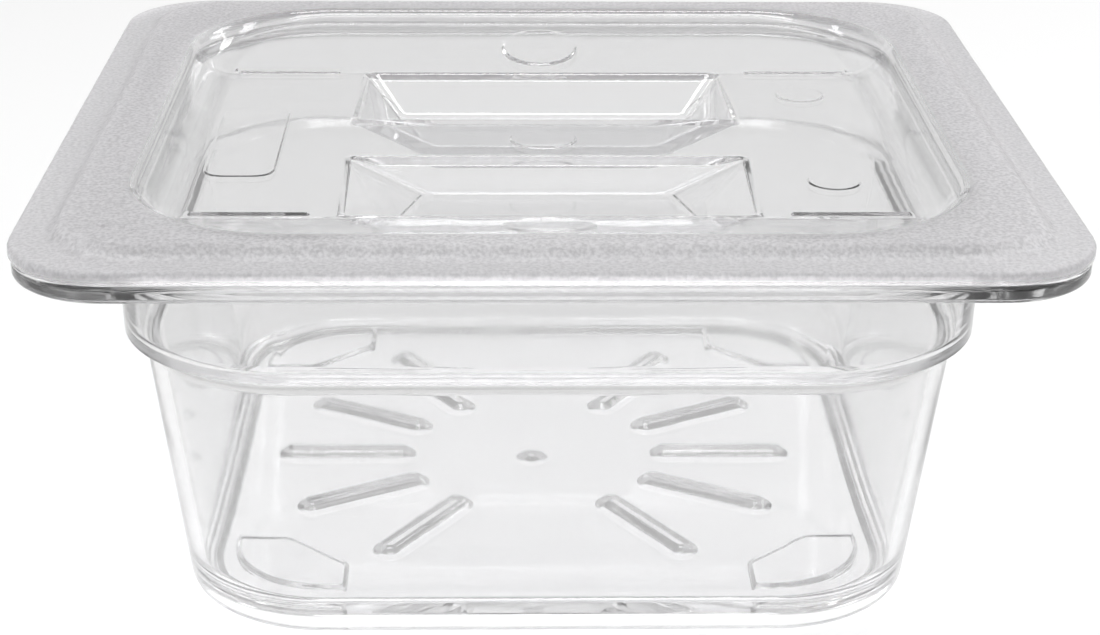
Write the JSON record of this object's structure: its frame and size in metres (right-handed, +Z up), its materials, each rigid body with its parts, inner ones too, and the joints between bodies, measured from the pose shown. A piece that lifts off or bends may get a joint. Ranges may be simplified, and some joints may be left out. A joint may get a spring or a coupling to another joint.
{
  "type": "deli food pan",
  "caption": "Clear rectangular food pan, sixth gastronorm size, with tapered walls, a stacking shoulder and a lift-off lid that has a recessed grip bar.",
  "frame": {"origin": "middle of the foot that the pan stands on", "axes": "+X along the longer side, +Y along the shorter side away from the viewer, +Z up"},
  "size_m": [0.176, 0.162, 0.0772],
  "materials": {
    "clear_polycarbonate": "clear polished polycarbonate",
    "lid_polycarbonate": "clear polished recess inside a frosted border and ledge"
  },
  "bodies": {
    "pan": {"pan": "clear_polycarbonate"},
    "lid": {"lid": "lid_polycarbonate"}
  },
  "joints": [
    {"name": "lid_lift", "type": "slide", "parent": "pan", "child": "lid", "axis": [0, 0, 1], "range_m": [0, 0.12]}
  ]
}
